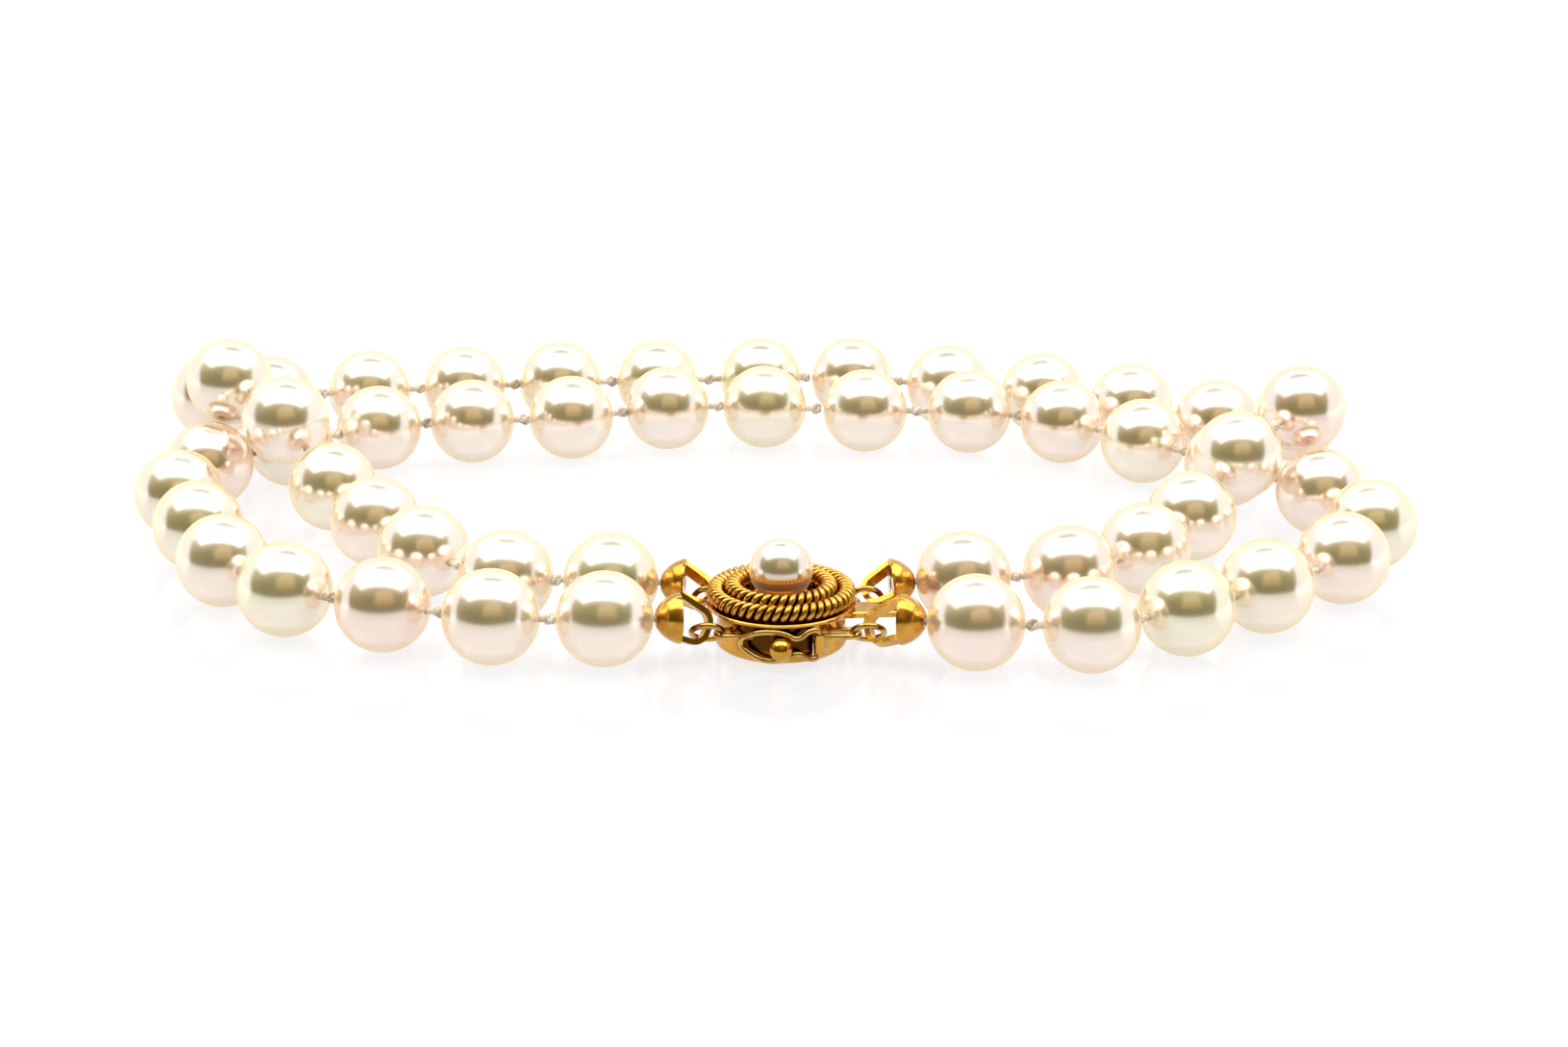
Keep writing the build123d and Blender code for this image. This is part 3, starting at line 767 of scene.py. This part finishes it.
MIDDLE_CARD = [
    (-16, -18, 46), (-8, -9, 51), (0, 0, 53.5), (9, 10, 54), (18, 20, 53.5), (26, 29, 51), (33, 37, 46),
]
MIDDLE_STOPS = [(0.0, (0.2, 0.15, 0.01)), (0.3, (0.5, 0.37, 0.12)), (1.0, (0.7, 0.56, 0.3))]
MIDDLE_R, MIDDLE_FOOT = 0.66, 0.2


def glow(name, strength, colour=(1.0, 1.0, 1.0)):
    """A material that only shines, and the node that makes it shine."""
    material = bpy.data.materials.new(name)
    material.use_nodes = True
    tree = material.node_tree
    tree.nodes.clear()
    out = tree.nodes.new("ShaderNodeOutputMaterial")
    shine = tree.nodes.new("ShaderNodeEmission")
    shine.inputs["Color"].default_value = (*colour, 1.0)
    shine.inputs["Strength"].default_value = strength
    tree.links.new(shine.outputs["Emission"], out.inputs["Surface"])
    return material, shine


def reflection_only(obj):
    """A card that shows in gloss alone."""
    obj.visible_camera = False
    obj.visible_diffuse = False
    obj.visible_transmission = False
    obj.visible_volume_scatter = False


def card_point(radius, azimuth, height):
    """A point of a card, with the azimuth taken from the camera's side."""
    turn = radians(azimuth)
    return Vector((radius * sin(turn), -radius * cos(turn), height))


def make_card(name, radius, profile, foot, stops):
    """An upright curved card round the camera's side, shaded from bottom to top."""
    verts, faces, rises = [], [], []
    for i in range(CARD_ROWS + 1):
        rise = i / CARD_ROWS
        for low, high, elevation in profile:
            bottom = card_point(radius, low, foot)
            top = card_point(radius, high, radius * tan(radians(elevation)))
            verts.append(bottom.lerp(top, rise))
            rises.append(rise)
    columns = len(profile)
    for i in range(CARD_ROWS):
        for j in range(columns - 1):
            a = i * columns + j
            faces.append((a, a + 1, a + columns + 1, a + columns))
    card = make_object(name, verts, faces, [("rise", rises)])
    material, shine = glow(name, 1.0)
    tree = material.node_tree
    rise = tree.nodes.new("ShaderNodeAttribute")
    rise.attribute_name = "rise"
    ramp = tree.nodes.new("ShaderNodeValToRGB")
    set_stops(ramp, stops)
    tree.links.new(rise.outputs["Fac"], ramp.inputs["Fac"])
    tree.links.new(ramp.outputs["Color"], shine.inputs["Color"])
    dress(card, material)
    reflection_only(card)


def make_dark_oval():
    """A small dull oval under the softbox, which marks every highlight."""
    x, y, z = OVAL_PLACE
    verts = [OVAL_PLACE]
    for k in range(OVAL_STEPS):
        turn = 2 * pi * k / OVAL_STEPS
        verts.append((x + OVAL_HALF[0] * cos(turn), y + OVAL_HALF[1] * sin(turn), z))
    faces = [(0, 1 + k, 1 + (k + 1) % OVAL_STEPS) for k in range(OVAL_STEPS)]
    oval = make_object("dark_oval", verts, faces)
    dress(oval, glow("dark_oval", 0.5, (0.9, 1.0, 0.85))[0])
    reflection_only(oval)


def make_floor():
    """A white glowing table, a little glossy."""
    corners = [(FLOOR_HALF * x, FLOOR_HALF * y, 0) for x, y in ((-1, -1), (1, -1), (1, 1), (-1, 1))]
    floor = make_object("floor", corners, [(0, 1, 2, 3)])
    n = Nodes("white_table")
    roughness = n.span(n.noise(6.0, 1.0), 0.16, 0.2)
    n.shader.inputs["Base Color"].default_value = (0.12, 0.12, 0.122, 1.0)
    n.shader.inputs["Specular IOR Level"].default_value = 0.25
    n.shader.inputs["Emission Color"].default_value = (0.985, 0.985, 1.0, 1.0)
    material = n.finish(
        None,
        roughness,
        None,
        Emission_Strength=FLOOR_GLOW,
        Coat_Weight=0.3,
        Coat_Roughness=0.15,
    )
    dress(floor, material)


make_floor()
make_card("dark_side_card", SIDE_R, SIDE_CARD, SIDE_FOOT, SIDE_STOPS)
make_card("pale_middle_card", MIDDLE_R, MIDDLE_CARD, MIDDLE_FOOT, MIDDLE_STOPS)
make_dark_oval()

box_light = bpy.data.lights.new("overhead_softbox", "AREA")
box_light.shape = "RECTANGLE"
box_light.size, box_light.size_y = SOFTBOX_SIZE
box_light.energy = SOFTBOX_RADIANCE * pi * SOFTBOX_SIZE[0] * SOFTBOX_SIZE[1]
softbox = link(bpy.data.objects.new("overhead_softbox", box_light))
softbox.location = SOFTBOX_PLACE

world = bpy.data.worlds.new("white_tent")
world.use_nodes = True
sky = world.node_tree.nodes["Background"]
sky.inputs["Color"].default_value = (0.96, 0.99, 1.0, 1.0)
sky.inputs["Strength"].default_value = SKY
scene = bpy.context.scene
scene.world = world
scene.view_settings.view_transform = "Standard"
scene.view_settings.look = "None"
